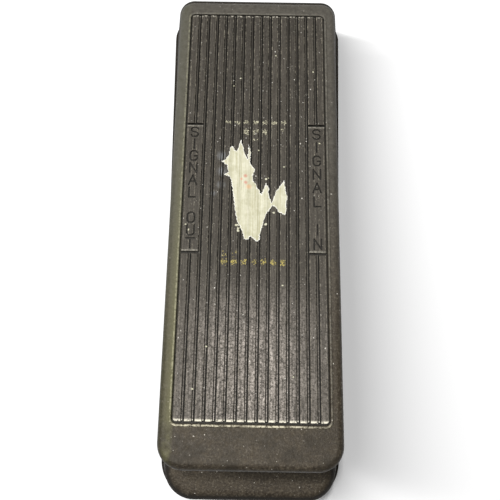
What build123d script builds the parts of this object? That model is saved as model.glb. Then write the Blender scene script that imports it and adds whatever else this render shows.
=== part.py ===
"""Volume pedal: a rocking treadle on a hollow cast chassis turns a potentiometer through a rack and pinion.

Frame: +X to the player's right, +Y towards the toe, +Z up. The origin is on the floor under the middle of
the chassis. Everything is in millimetres. The pieces stand in the rest pose: toe down, with the treadle
lying against the toe bumper. The treadle's pieces are drawn level about the pivot and tilted at the end.
"""

import os

from math import acos, cos, pi, radians, sin, tan

from build123d import *

# ---------------------------------------------------------------- driving dimensions
CHASSIS_LENGTH = 254.0
CHASSIS_WIDTH = 88.8
HEEL_CORNER = 18.5
TOE_CORNER = 12.5
DECK_TOP = 42.0
WALL = 3.0
DRAFT = 8.0
FLANGE_HEIGHT = 5.0
FLANGE_STEP = 1.2
DECK_EDGE_RADIUS = 5.0
FOOT_HEIGHT = 6.0
PLATE_THICKNESS = 1.5

TREADLE_LENGTH = 219.1
TREADLE_WIDTH = 75.2
TREADLE_HEEL_CORNER = 10.5
TREADLE_TOE_CORNER = 6.5
TREADLE_TOP = 20.0
TREADLE_UNDERSIDE = 15.6
TREADLE_WALL = 2.6
TREADLE_FLARE = 0.8
TREADLE_EDGE_RADIUS = 3.0
STIFFENER_PLACES = (-84, -56, -28, 28, 62, 84)
STIFFENER_SPACING = 25.0
STIFFENER_WIDTH = 2.2
STIFFENER_DEPTH = 4.5
SKIRT_GAP = 1.5

PIVOT_Y = 3.6
PIVOT_Z = 50.0
TILT = 9.3

MAT_LENGTH = 192.6
MAT_WIDTH = 63.4
MAT_CENTRE = 4.9
MAT_BASE = 1.2
MAT_CORNER = 1.8
RECESS_DEPTH = 1.4
RECESS_GAP = 0.4
BEAD_WIDTH = 1.1
BEAD_HEIGHT = 0.6
RIB_COUNT = 15
RIB_PITCH = 4.24
RIB_HEIGHT = 1.3
RIB_END_MARGIN = 0.6
RIB_SIDE_MARGIN = 0.3
GROOVE_WIDTH = 1.45
FINE_RIDGE_WIDTH = 0.45
FINE_RIDGE_HEIGHT = 1.1
FINE_RIDGE_SHIFT = -0.2
LABEL_LENGTH = 60.6
LABEL_CENTRE = 11.1
LABEL_GAP = 1.0
LETTER_WIDTH = 3.5
LETTER_HEIGHT = 4.6
LETTER_STROKE = 0.75
LETTER_DEPTH = 0.6
LEFT_LABEL = "SIGNAL OUT"
RIGHT_LABEL = "SIGNAL IN"

AXLE_RADIUS = 3.175
RUNNING = 0.05

RACK_ARM = 45.0
RACK_PIN_RISE = 6.0
RACK_PIN_RADIUS = 1.5
MODULE = 0.8
PINION_TEETH = 14
PRESSURE_ANGLE = 25.0
ADDENDUM = 0.72
DEDENDUM = 1.0
BACKLASH = 0.05
PINION_Z = 26.5

JACK_Y = 18.0
JACK_Z = 24.0
SOCKET_RADIUS = 3.25

# ---------------------------------------------------------------- worked-out places
RIM_Z = FOOT_HEIGHT
DECK_UNDERSIDE = DECK_TOP - WALL
PLATE_TOP = RIM_Z + PLATE_THICKNESS
FLANGE_TOP = RIM_Z + FLANGE_HEIGHT
SCREW_X = 31.0
SCREW_Y = 105.0
FOOT_PLACES = GridLocations(2 * SCREW_X, 2 * SCREW_Y, 2, 2)

TILT_RAD = radians(TILT)
REST = Location((0, PIVOT_Y, PIVOT_Z), (-TILT, 0, 0))
LABEL_INNER = RIB_PITCH * (RIB_COUNT - 4) / 2 + GROOVE_WIDTH / 2
LABEL_OUTER = MAT_WIDTH / 2 - RIB_SIDE_MARGIN
LABEL_WIDTH = LABEL_OUTER - LABEL_INNER
LABEL_X = (LABEL_OUTER + LABEL_INNER) / 2
SKIRT_APEX = (DECK_TOP + SKIRT_GAP - PIVOT_Z) / cos(TILT_RAD)
SKIRT_END = SKIRT_APEX + TREADLE_LENGTH / 2 * tan(TILT_RAD)

PITCH_RADIUS = MODULE * PINION_TEETH / 2
TOOTH_PITCH = pi * MODULE
RACK_HALF_WIDTH = 3.5
RACK_SLOT_Y = PIVOT_Y + RACK_ARM * cos(TILT_RAD)
RACK_BACK_Y = RACK_SLOT_Y - 3.0
RACK_PITCH_Y = RACK_BACK_Y + 5.3
RACK_ROOT_Y = RACK_PITCH_Y - DEDENDUM
RACK_TIP_Y = RACK_PITCH_Y + ADDENDUM
PINION_Y = RACK_PITCH_Y + PITCH_RADIUS
RACK_PIN_Z = PIVOT_Z - RACK_ARM * sin(TILT_RAD) + RACK_PIN_RISE * cos(TILT_RAD)
RACK_BOTTOM = PLATE_TOP + 1.0

TOWER_INNER = 24.4
TOWER_OUTER = 30.4
BOSS_RADIUS = 7.0
LUG_INNER = 16.0
LUG_OUTER = 23.0

made = []


def keep(piece, label):
    """Labels a finished piece and puts it on the list to write."""
    piece.label = label
    made.append(piece)


def footprint(length, width, heel_corner, toe_corner):
    """A rectangle with its own corner radius at each end."""
    with BuildSketch() as outline:
        Rectangle(width, length)
        fillet(outline.vertices().group_by(Axis.Y)[0], heel_corner)
        fillet(outline.vertices().group_by(Axis.Y)[-1], toe_corner)
    return outline.sketch


def chassis_outline(inset):
    """The chassis's outline, drawn in by inset all round."""
    return footprint(
        CHASSIS_LENGTH - 2 * inset, CHASSIS_WIDTH - 2 * inset, HEEL_CORNER - inset, TOE_CORNER - inset
    )


def treadle_outline(inset):
    """The treadle's top outline, drawn in by inset all round."""
    return footprint(
        TREADLE_LENGTH - 2 * inset,
        TREADLE_WIDTH - 2 * inset,
        TREADLE_HEEL_CORNER - inset,
        TREADLE_TOE_CORNER - inset,
    )


# ================================================================ chassis body
JACK_FACE_X = 38.5
JACK_BOSS_X = JACK_FACE_X - WALL
BRACKET_X = 9.0
BRACKET_THICKNESS = 2.0
BRACKET_SCREW_X = 15.5
BRACKET_SCREW_SPREAD = 32.0
BRACKET_SCREW_RADIUS = 1.45
GUIDE_WEB_Y = RACK_BACK_Y - 10.0
WEB_BOTTOM = 14.0
GUIDE_SCREW_Z = 24.0
GUIDE_SCREW_RADIUS = 1.95

with BuildPart() as chassis:
    # outer form: a flange at the rim, then drafted walls up to the deck
    with BuildSketch(Plane.XY.offset(RIM_Z)):
        add(chassis_outline(0))
    extrude(amount=FLANGE_HEIGHT)
    fillet(chassis.edges().group_by(Axis.Z)[-1], 0.7)
    with BuildSketch(Plane.XY.offset(RIM_Z)):
        add(chassis_outline(FLANGE_STEP))
    extrude(amount=FLANGE_HEIGHT)
    with BuildSketch(Plane.XY.offset(FLANGE_TOP)):
        add(chassis_outline(FLANGE_STEP))
    extrude(amount=DECK_TOP - FLANGE_TOP, taper=DRAFT)
    fillet(chassis.edges().group_by(Axis.Z)[-1], DECK_EDGE_RADIUS)
    # the hollow, and the rebate that the bottom plate drops into
    with BuildSketch(Plane.XY.offset(RIM_Z)):
        add(chassis_outline(FLANGE_STEP + WALL))
    extrude(amount=DECK_UNDERSIDE - RIM_Z, taper=DRAFT, mode=Mode.SUBTRACT)
    with BuildSketch(Plane.XY.offset(RIM_Z)):
        add(chassis_outline(1.7))
    extrude(amount=PLATE_THICKNESS, mode=Mode.SUBTRACT)
    # screw posts
    with BuildSketch(Plane.XY.offset(PLATE_TOP)):
        with FOOT_PLACES:
            Circle(5.0)
    extrude(amount=DECK_UNDERSIDE - PLATE_TOP + 0.5)
    with BuildSketch(Plane.XY.offset(PLATE_TOP)):
        with FOOT_PLACES:
            Circle(2.05)
    extrude(amount=20.0, mode=Mode.SUBTRACT)
    # pivot towers
    for x in (-TOWER_OUTER, TOWER_INNER):
        with BuildSketch(Plane.YZ.offset(x)):
            with Locations((PIVOT_Y, PIVOT_Z)):
                Circle(BOSS_RADIUS)
            with Locations((PIVOT_Y, DECK_TOP - 1)):
                Trapezoid(30, PIVOT_Z - DECK_TOP + 1, 52, align=(Align.CENTER, Align.MIN))
        extrude(amount=TOWER_OUTER - TOWER_INNER)
    with BuildSketch(Plane.YZ.offset(-TOWER_OUTER - 1)):
        with Locations((PIVOT_Y, PIVOT_Z)):
            Circle(AXLE_RADIUS + 0.02)
    extrude(amount=2 * TOWER_OUTER + 2, mode=Mode.SUBTRACT)
    # the web that carries the rack's guide
    with BuildSketch(Plane.XY.offset(WEB_BOTTOM)):
        with Locations((0, GUIDE_WEB_Y)):
            Rectangle(16, 4, align=(Align.CENTER, Align.MIN))
    extrude(amount=DECK_UNDERSIDE - WEB_BOTTOM + 0.5)
    with BuildSketch(Plane.XZ.offset(-GUIDE_WEB_Y - 4)):
        with Locations((0, GUIDE_SCREW_Z)):
            Circle(GUIDE_SCREW_RADIUS + RUNNING)
    extrude(amount=4, mode=Mode.SUBTRACT)
    # tapped holes for the potentiometer's bracket
    with BuildSketch(Plane.XY.offset(DECK_UNDERSIDE)):
        with Locations((BRACKET_SCREW_X, PINION_Y)):
            with GridLocations(1, BRACKET_SCREW_SPREAD, 1, 2):
                Circle(BRACKET_SCREW_RADIUS + RUNNING)
    extrude(amount=2.2, mode=Mode.SUBTRACT)
    # the slot that the rack works through
    with BuildSketch(Plane.XY.offset(DECK_UNDERSIDE - 1)):
        with Locations((0, RACK_SLOT_Y + 0.5)):
            RectangleRounded(12, 13, 2)
    extrude(amount=WALL + 2, mode=Mode.SUBTRACT)
    # a boss, a pocket and a hole for each jack
    for side in (1, -1):
        with BuildSketch(Plane.YZ.offset(side * JACK_BOSS_X)):
            with Locations((JACK_Y, JACK_Z)):
                Circle(10.5)
        extrude(amount=side * 4)
        with BuildSketch(Plane.YZ.offset(side * JACK_FACE_X)):
            with Locations((JACK_Y, JACK_Z)):
                Circle(8.6)
        extrude(amount=side * 10, mode=Mode.SUBTRACT)
        with BuildSketch(Plane.YZ.offset(side * (JACK_BOSS_X - 1))):
            with Locations((JACK_Y, JACK_Z)):
                Circle(4.8)
        extrude(amount=side * 10, mode=Mode.SUBTRACT)
keep(chassis.part, "chassis_casting")

with BuildPart() as bottom_plate:
    with BuildSketch(Plane.XY.offset(RIM_Z)):
        add(chassis_outline(1.9))
        with FOOT_PLACES:
            Circle(2.2, mode=Mode.SUBTRACT)
    extrude(amount=PLATE_THICKNESS)
keep(bottom_plate.part, "bottom_plate")

FOOT_RADIUS = 9.5
HEAD_RECESS = 3.2
for y, end in ((-SCREW_Y, "heel"), (SCREW_Y, "toe")):
    for x, side in ((-SCREW_X, "left"), (SCREW_X, "right")):
        with BuildPart() as rubber_foot:
            with BuildSketch(Plane.XY.offset(FOOT_HEIGHT)):
                with Locations((x, y)):
                    Circle(FOOT_RADIUS)
            extrude(amount=-FOOT_HEIGHT, taper=6)
            fillet(rubber_foot.edges().group_by(Axis.Z)[0], 0.8)
            with BuildSketch():
                with Locations((x, y)):
                    Circle(4.8)
            extrude(amount=HEAD_RECESS, mode=Mode.SUBTRACT)
            with BuildSketch():
                with Locations((x, y)):
                    Circle(2.2)
            extrude(amount=FOOT_HEIGHT, mode=Mode.SUBTRACT)
        keep(rubber_foot.part, f"rubber_foot_{end}_{side}")

with BuildPart() as foot_screws:
    with BuildSketch(Plane.XY.offset(HEAD_RECESS)):
        with FOOT_PLACES:
            Circle(4.2)
    extrude(amount=-2.4)
    fillet(foot_screws.edges().group_by(Axis.Z)[0], 0.9)
    with BuildSketch(Plane.XY.offset(HEAD_RECESS)):
        with FOOT_PLACES:
            Circle(2.0)
    extrude(amount=18.0)
    with BuildSketch(Plane.XY.offset(HEAD_RECESS - 2.4)):
        with FOOT_PLACES:
            Rectangle(4.6, 0.9)
            Rectangle(0.9, 4.6)
    extrude(amount=1.3, mode=Mode.SUBTRACT)
keep(foot_screws.part, "foot_screws")

AXLE_END = 32.6
CLIP_X = 30.8
CLIP_THICKNESS = 0.7
GROOVE_RADIUS = 2.5
with BuildPart() as pivot_axle:
    with BuildSketch(Plane.YZ.offset(-AXLE_END)):
        with Locations((PIVOT_Y, PIVOT_Z)):
            Circle(AXLE_RADIUS)
    extrude(amount=2 * AXLE_END)
    chamfer(pivot_axle.edges().filter_by(GeomType.CIRCLE), 0.4)
    for side in (1, -1):
        with BuildSketch(Plane.YZ.offset(side * CLIP_X)):
            with Locations((PIVOT_Y, PIVOT_Z)):
                Circle(AXLE_RADIUS + 1)
                Circle(GROOVE_RADIUS, mode=Mode.SUBTRACT)
        extrude(amount=side * (CLIP_THICKNESS + 0.1), mode=Mode.SUBTRACT)
keep(pivot_axle.part, "pivot_axle")


def clip_outline(bore, outer):
    """A flat retaining clip, open towards the top, that pushes into a shaft's groove."""
    with BuildSketch() as outline:
        Circle(outer)
        Circle(bore, mode=Mode.SUBTRACT)
        Rectangle(1.5 * bore, 2 * outer, align=(Align.CENTER, Align.MIN), mode=Mode.SUBTRACT)
    return outline.sketch


with BuildPart() as axle_clips:
    for x in (CLIP_X + 0.05, -CLIP_X - 0.05 - CLIP_THICKNESS):
        with BuildSketch(Plane.YZ.offset(x)):
            with Locations((PIVOT_Y, PIVOT_Z)):
                add(clip_outline(GROOVE_RADIUS + 0.03, 5.6))
        extrude(amount=CLIP_THICKNESS)
keep(axle_clips.part, "axle_clips")

with BuildPart() as friction_washers:
    for x in (LUG_OUTER + 0.9, -LUG_OUTER - 1.3):
        with BuildSketch(Plane.YZ.offset(x)):
            with Locations((PIVOT_Y, PIVOT_Z)):
                Circle(6.3)
                Circle(AXLE_RADIUS + 0.1, mode=Mode.SUBTRACT)
        extrude(amount=0.4)
keep(friction_washers.part, "friction_washers")

BUMPER_ARM = 95.0
BUMPER_GAP = 0.2
for end, label in ((1, "toe_bumper"), (-1, "heel_bumper")):
    with BuildPart() as bumper:
        y = PIVOT_Y + end * BUMPER_ARM
        with BuildSketch(Plane.XY.offset(DECK_TOP)):
            with Locations((0, y)):
                RectangleRounded(34, 12, 3)
        extrude(amount=14)
        # the top is cut parallel to the treadle's underside where that end is fully down
        touching = Plane(
            origin=(0, PIVOT_Y, PIVOT_Z), x_dir=(1, 0, 0), z_dir=(0, end * sin(TILT_RAD), cos(TILT_RAD))
        )
        split(bisect_by=touching.offset(TREADLE_UNDERSIDE - BUMPER_GAP), keep=Keep.BOTTOM)
        fillet(bumper.faces().sort_by(Axis.Z)[-1].edges(), 0.8)
    keep(bumper.part, label)

# ---------------------------------------------------------------- rack guide
GUIDE_FRONT = RACK_BACK_Y + 4.0
GUIDE_BOTTOM = 16.5
GUIDE_TOP = 33.5
with BuildPart() as rack_guide:
    with BuildSketch(Plane.XY.offset(GUIDE_BOTTOM)):
        with Locations((0, GUIDE_WEB_Y + 4.0)):
            Rectangle(14.4, GUIDE_FRONT - GUIDE_WEB_Y - 4.0, align=(Align.CENTER, Align.MIN))
        with Locations((0, RACK_BACK_Y - RUNNING)):
            Rectangle(2 * (RACK_HALF_WIDTH + RUNNING), 8, align=(Align.CENTER, Align.MIN), mode=Mode.SUBTRACT)
    extrude(amount=GUIDE_TOP - GUIDE_BOTTOM)
    with BuildSketch(Plane.XZ.offset(-RACK_BACK_Y)):
        with Locations((0, GUIDE_SCREW_Z)):
            Circle(GUIDE_SCREW_RADIUS + RUNNING)
    extrude(amount=7, mode=Mode.SUBTRACT)
keep(rack_guide.part, "rack_guide")

with BuildPart() as guide_screw:
    with BuildSketch(Plane.XZ.offset(-GUIDE_WEB_Y)):
        with Locations((0, GUIDE_SCREW_Z)):
            Circle(3.8)
    extrude(amount=2.4)
    fillet(guide_screw.edges().group_by(Axis.Y)[0], 0.8)
    with BuildSketch(Plane.XZ.offset(-GUIDE_WEB_Y)):
        with Locations((0, GUIDE_SCREW_Z)):
            Circle(GUIDE_SCREW_RADIUS)
    extrude(amount=-9.5)
    with BuildSketch(Plane.XZ.offset(-GUIDE_WEB_Y + 2.4)):
        with Locations((0, GUIDE_SCREW_Z)):
            Rectangle(6.5, 0.9)
    extrude(amount=-1.0, mode=Mode.SUBTRACT)
keep(guide_screw.part, "guide_screw")

# ---------------------------------------------------------------- potentiometer, fixed pieces
POT_FACE_X = BRACKET_X + BRACKET_THICKNESS
POT_RADIUS = 11.5
BRACKET_SPAN = 40.0
TAB_LENGTH = 11.0
with BuildPart() as pot_bracket:
    with BuildSketch(Plane.YZ.offset(BRACKET_X)):
        with Locations((PINION_Y, PINION_Z)):
            Circle(9.0)
            Rectangle(18, DECK_UNDERSIDE - PINION_Z, align=(Align.CENTER, Align.MIN))
        with Locations((PINION_Y, DECK_UNDERSIDE)):
            Rectangle(BRACKET_SPAN, 5.0, align=(Align.CENTER, Align.MAX))
        with Locations((PINION_Y, PINION_Z)):
            Circle(4.8, mode=Mode.SUBTRACT)
    extrude(amount=BRACKET_THICKNESS)
    # the two tabs, folded over to meet the deck
    with BuildSketch(Plane.XY.offset(DECK_UNDERSIDE)):
        with Locations((BRACKET_X + 0.5, PINION_Y)):
            with GridLocations(1, BRACKET_SCREW_SPREAD, 1, 2):
                Rectangle(TAB_LENGTH, BRACKET_SPAN - BRACKET_SCREW_SPREAD, align=(Align.MIN, Align.CENTER))
        with Locations((BRACKET_SCREW_X, PINION_Y)):
            with GridLocations(1, BRACKET_SCREW_SPREAD, 1, 2):
                Circle(BRACKET_SCREW_RADIUS + 0.15, mode=Mode.SUBTRACT)
    extrude(amount=-BRACKET_THICKNESS)
keep(pot_bracket.part, "pot_bracket")

TAB_UNDERSIDE = DECK_UNDERSIDE - BRACKET_THICKNESS
with BuildPart() as bracket_screws:
    with BuildSketch(Plane.XY.offset(TAB_UNDERSIDE)):
        with Locations((BRACKET_SCREW_X, PINION_Y)):
            with GridLocations(1, BRACKET_SCREW_SPREAD, 1, 2):
                Circle(2.8)
    extrude(amount=-1.9)
    fillet(bracket_screws.edges().group_by(Axis.Z)[0], 0.6)
    with BuildSketch(Plane.XY.offset(TAB_UNDERSIDE)):
        with Locations((BRACKET_SCREW_X, PINION_Y)):
            with GridLocations(1, BRACKET_SCREW_SPREAD, 1, 2):
                Circle(BRACKET_SCREW_RADIUS)
    extrude(amount=4.0)
    with BuildSketch(Plane.XY.offset(TAB_UNDERSIDE - 1.9)):
        with Locations((BRACKET_SCREW_X, PINION_Y)):
            with GridLocations(1, BRACKET_SCREW_SPREAD, 1, 2):
                Rectangle(4.6, 0.8)
    extrude(amount=0.9, mode=Mode.SUBTRACT)
keep(bracket_screws.part, "bracket_screws")

CAN_START = POT_FACE_X + 2.0
CAN_LENGTH = 13.0
SHAFT_RADIUS = 3.0
with BuildPart() as pot_front:
    with BuildSketch(Plane.YZ.offset(POT_FACE_X)):
        with Locations((PINION_Y, PINION_Z)):
            Circle(POT_RADIUS)
    extrude(amount=2.0)
    with BuildSketch(Plane.YZ.offset(POT_FACE_X)):
        with Locations((PINION_Y, PINION_Z)):
            Circle(4.7)
    extrude(amount=-6.6)
    with BuildSketch(Plane.YZ.offset(CAN_START)):
        with Locations((PINION_Y, PINION_Z)):
            Circle(SHAFT_RADIUS + RUNNING)
    extrude(amount=-10, mode=Mode.SUBTRACT)
keep(pot_front.part, "pot_front_and_bushing")

NUT_THICKNESS = 2.0
with BuildPart() as pot_washer:
    with BuildSketch(Plane.YZ.offset(BRACKET_X)):
        with Locations((PINION_Y, PINION_Z)):
            Circle(7.0)
            Circle(4.75, mode=Mode.SUBTRACT)
    extrude(amount=-0.5)
keep(pot_washer.part, "pot_washer")

with BuildPart() as pot_nut:
    with BuildSketch(Plane.YZ.offset(BRACKET_X - 0.5)):
        with Locations((PINION_Y, PINION_Z)):
            RegularPolygon(6.0, 6, major_radius=False)
            Circle(4.75, mode=Mode.SUBTRACT)
    extrude(amount=-NUT_THICKNESS)
keep(pot_nut.part, "pot_nut")

TRACK_THICKNESS = 0.8
TERMINAL_PITCH = 5.0
TERMINAL_THICKNESS = 0.5
with BuildPart() as pot_track:
    with BuildSketch(Plane.YZ.offset(CAN_START)):
        with Locations((PINION_Y, PINION_Z)):
            Circle(POT_RADIUS - 1.0)
            Circle(5.0, mode=Mode.SUBTRACT)
        with Locations((PINION_Y - POT_RADIUS + 1.5, PINION_Z)):
            Rectangle(8, 3 * TERMINAL_PITCH, align=(Align.CENTER, Align.CENTER))
    extrude(amount=TRACK_THICKNESS)
keep(pot_track.part, "pot_resistive_track")

TERMINAL_X = CAN_START + TRACK_THICKNESS
TERMINAL_END_Y = PINION_Y - POT_RADIUS - 8.0
with BuildPart() as pot_terminals:
    with BuildSketch(Plane.YZ.offset(TERMINAL_X)):
        with Locations((TERMINAL_END_Y, PINION_Z)):
            with GridLocations(1, TERMINAL_PITCH, 1, 3):
                Rectangle(10.5, 2.4, align=(Align.MIN, Align.CENTER))
        with Locations((TERMINAL_END_Y + 1.6, PINION_Z)):
            with GridLocations(1, TERMINAL_PITCH, 1, 3):
                Circle(0.6, mode=Mode.SUBTRACT)
    extrude(amount=TERMINAL_THICKNESS)
keep(pot_terminals.part, "pot_terminals")

with BuildPart() as pot_can:
    with BuildSketch(Plane.YZ.offset(CAN_START)):
        with Locations((PINION_Y, PINION_Z)):
            Circle(POT_RADIUS)
    extrude(amount=CAN_LENGTH)
    fillet(pot_can.edges().group_by(Axis.X)[-1], 1.2)
    with BuildSketch(Plane.YZ.offset(CAN_START)):
        with Locations((PINION_Y, PINION_Z)):
            Circle(POT_RADIUS - 0.7)
    extrude(amount=CAN_LENGTH - 0.7, mode=Mode.SUBTRACT)
    # the notch that the terminals come out of
    with BuildSketch(Plane.YZ.offset(CAN_START)):
        with Locations((PINION_Y - 12, PINION_Z)):
            Rectangle(14, 3 * TERMINAL_PITCH + 0.6)
    extrude(amount=1.8, mode=Mode.SUBTRACT)
keep(pot_can.part, "pot_can")

# ---------------------------------------------------------------- jacks
JACK_END_X = 41.6
JACK_FLANGE = 2.4
ARM_Z = JACK_Z - 11.0
STACK_X = 24.0
STACK_LENGTH = 7.0
LEAF_THICKNESS = 0.5
LEAF_Z = ARM_Z + 3.6


def jack_frame():
    """The threaded bush, its flange and the frame arm under the plug, on the +X side."""
    with BuildPart() as frame:
        with BuildSketch(Plane.YZ.offset(JACK_END_X)):
            with Locations((JACK_Y, JACK_Z)):
                Circle(4.7)
        extrude(amount=-(JACK_END_X - JACK_BOSS_X + 0.1))
        with BuildSketch(Plane.YZ.offset(JACK_BOSS_X - 0.1)):
            with Locations((JACK_Y, JACK_Z)):
                Circle(7.0)
            with Locations((JACK_Y, ARM_Z)):
                Rectangle(9, JACK_Z - ARM_Z, align=(Align.CENTER, Align.MIN))
        extrude(amount=-JACK_FLANGE)
        with BuildSketch(Plane.XY.offset(ARM_Z)):
            with Locations((STACK_X - 3, JACK_Y)):
                Rectangle(JACK_BOSS_X - 0.1 - STACK_X + 3, 9, align=(Align.MIN, Align.CENTER))
        extrude(amount=1.2)
        with BuildSketch(Plane.YZ.offset(JACK_END_X)):
            with Locations((JACK_Y, JACK_Z)):
                Circle(SOCKET_RADIUS)
        extrude(amount=-12, mode=Mode.SUBTRACT)
    return frame.part


def jack_insulator():
    """The insulating block that holds the tip spring on the frame arm."""
    with BuildPart() as block:
        with BuildSketch(Plane.XY.offset(ARM_Z + 1.2)):
            with Locations((STACK_X, JACK_Y)):
                Rectangle(STACK_LENGTH, 8, align=(Align.MIN, Align.CENTER))
        extrude(amount=5.0)
        with BuildSketch(Plane.XY.offset(LEAF_Z)):
            with Locations((STACK_X - 1, JACK_Y)):
                Rectangle(STACK_LENGTH + 2, 6.2, align=(Align.MIN, Align.CENTER))
        extrude(amount=LEAF_THICKNESS, mode=Mode.SUBTRACT)
    return block.part


def jack_tip_spring():
    """The leaf spring that bears on the plug's tip, with its solder tail."""
    with BuildPart() as leaf:
        with BuildSketch(Plane.XZ.offset(-JACK_Y - 3)):
            with BuildLine():
                Polyline(
                    (STACK_X + STACK_LENGTH + 1.2, LEAF_Z + LEAF_THICKNESS / 2),
                    (STACK_X - 1.5, LEAF_Z + LEAF_THICKNESS / 2),
                    (STACK_X - 7.0, JACK_Z - 2.0),
                    (STACK_X - 9.0, JACK_Z - 4.5),
                    (STACK_X - 11.0, JACK_Z - 1.5),
                )
            trace(line_width=LEAF_THICKNESS)
        extrude(amount=6)
    return leaf.part


def jack_washer():
    """The plain washer in the jack's pocket."""
    with BuildPart() as washer:
        with BuildSketch(Plane.YZ.offset(JACK_FACE_X)):
            with Locations((JACK_Y, JACK_Z)):
                Circle(7.8)
                Circle(4.8, mode=Mode.SUBTRACT)
        extrude(amount=0.5)
    return washer.part


def jack_nut():
    """The hexagon nut on the jack's bush."""
    with BuildPart() as nut:
        with BuildSketch(Plane.YZ.offset(JACK_FACE_X + 0.5)):
            with Locations((JACK_Y, JACK_Z)):
                RegularPolygon(7.0, 6, major_radius=False)
        extrude(amount=NUT_THICKNESS)
        chamfer(nut.edges().group_by(Axis.X)[-1], 0.4)
        with BuildSketch(Plane.YZ.offset(JACK_FACE_X)):
            with Locations((JACK_Y, JACK_Z)):
                Circle(4.75)
        extrude(amount=4, mode=Mode.SUBTRACT)
    return nut.part


keep(jack_frame(), "input_jack_frame")
keep(jack_insulator(), "input_jack_insulator")
keep(jack_tip_spring(), "input_jack_tip_spring")
keep(jack_frame().mirror(Plane.YZ), "output_jack_frame")
keep(jack_insulator().mirror(Plane.YZ), "output_jack_insulator")
keep(jack_tip_spring().mirror(Plane.YZ), "output_jack_tip_spring")
keep(Compound([jack_washer(), jack_washer().mirror(Plane.YZ)]), "jack_washers")
keep(Compound([jack_nut(), jack_nut().mirror(Plane.YZ)]), "jack_nuts")

# ---------------------------------------------------------------- connecting leads
LEAD_RADIUS = 0.7
TERMINAL_MIDDLE_X = TERMINAL_X + TERMINAL_THICKNESS / 2
TAIL_X = STACK_X + STACK_LENGTH + 0.9
TAIL_Z = LEAF_Z + LEAF_THICKNESS / 2
ARM_MIDDLE_Z = ARM_Z + 0.6
LEAD_ROUTES = {
    "input_lead": [
        (TERMINAL_MIDDLE_X, TERMINAL_END_Y, PINION_Z + TERMINAL_PITCH),
        (TERMINAL_MIDDLE_X, 30.0, PINION_Z + TERMINAL_PITCH),
        (23.0, 28.5, 24.0),
        (TAIL_X, 28.0, TAIL_Z),
        (TAIL_X, JACK_Y + 3.0, TAIL_Z),
    ],
    "output_lead": [
        (TERMINAL_MIDDLE_X, TERMINAL_END_Y, PINION_Z),
        (TERMINAL_MIDDLE_X, 30.5, PINION_Z),
        (3.0, 27.0, 20.0),
        (-12.0, 29.0, 14.0),
        (-24.0, 30.5, 12.5),
        (-TAIL_X, 28.5, TAIL_Z),
        (-TAIL_X, JACK_Y + 3.0, TAIL_Z),
    ],
    "ground_lead": [
        (TERMINAL_MIDDLE_X, TERMINAL_END_Y, PINION_Z - TERMINAL_PITCH),
        (TERMINAL_MIDDLE_X, 31.0, PINION_Z - TERMINAL_PITCH),
        (21.0, 30.5, 14.5),
        (27.0, 29.0, ARM_MIDDLE_Z),
        (27.0, JACK_Y + 4.5, ARM_MIDDLE_Z),
    ],
    "jack_link_lead": [
        (27.0, JACK_Y - 4.5, ARM_MIDDLE_Z),
        (27.0, 7.0, ARM_MIDDLE_Z),
        (12.0, 4.0, 11.0),
        (-3.0, 2.5, 12.5),
        (-16.0, 4.5, 11.5),
        (-27.0, 7.5, ARM_MIDDLE_Z),
        (-27.0, JACK_Y - 4.5, ARM_MIDDLE_Z),
    ],
}


def bend_radii(route):
    """The largest radius that the two runs at each corner of a route allow."""
    points = [Vector(*point) for point in route]
    runs = [after - before for before, after in zip(points, points[1:])]
    radii = []
    for run, following in zip(runs, runs[1:]):
        half_turn = radians(run.get_angle(following)) / 2
        radii.append(0.45 * min(run.length, following.length) / tan(half_turn))
    return radii


for label, route in LEAD_ROUTES.items():
    radii = bend_radii(route)
    print(label, "bend radii", [round(radius, 1) for radius in radii])
    with BuildPart() as lead:
        with BuildLine() as path:
            FilletPolyline(*route, radius=radii)
        with BuildSketch(Plane(origin=path.line @ 0, z_dir=path.line % 0)):
            Circle(LEAD_RADIUS)
        sweep()
    length = path.wire().length
    ideal = pi * LEAD_RADIUS**2 * length
    print(label, "length", round(length, 1), "volume / ideal", round(lead.part.volume / ideal, 4))
    keep(lead.part, label)

# ================================================================ rack body
EYE_RADIUS = 4.6
SLOT_HALF_TRAVEL = 1.6
RACK_TEETH = 9
FLANK_SLOPE = tan(radians(PRESSURE_ANGLE))
ROOT_HALF = TOOTH_PITCH / 4 - BACKLASH + FLANK_SLOPE * DEDENDUM
TIP_HALF = TOOTH_PITCH / 4 - BACKLASH - FLANK_SLOPE * ADDENDUM
with BuildPart() as rack:
    with BuildSketch(Plane.YZ.offset(-RACK_HALF_WIDTH)):
        # the stem, up to the eye
        with Locations((RACK_BACK_Y, RACK_BOTTOM)):
            Rectangle(
                RACK_ROOT_Y - RACK_BACK_Y,
                RACK_PIN_Z - RACK_BOTTOM,
                align=(Align.MIN, Align.MIN),
            )
        with Locations((RACK_SLOT_Y, RACK_PIN_Z)):
            SlotCenterToCenter(2 * SLOT_HALF_TRAVEL, 2 * EYE_RADIUS - 1.6)
        # the teeth, with a gap facing the pinion's axis at rest and the travel's worth of teeth below it
        for n in range(RACK_TEETH):
            z = PINION_Z + (n - RACK_TEETH + 2.5) * TOOTH_PITCH
            with BuildLine():
                Polyline(
                    (RACK_ROOT_Y - 0.1, z - ROOT_HALF),
                    (RACK_ROOT_Y, z - ROOT_HALF),
                    (RACK_TIP_Y, z - TIP_HALF),
                    (RACK_TIP_Y, z + TIP_HALF),
                    (RACK_ROOT_Y, z + ROOT_HALF),
                    (RACK_ROOT_Y - 0.1, z + ROOT_HALF),
                    close=True,
                )
            make_face()
        with Locations((RACK_SLOT_Y, RACK_PIN_Z)):
            SlotCenterToCenter(2 * SLOT_HALF_TRAVEL, 2 * (RACK_PIN_RADIUS + 0.15), mode=Mode.SUBTRACT)
    extrude(amount=2 * RACK_HALF_WIDTH)
keep(rack.part, "rack_gear")

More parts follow.
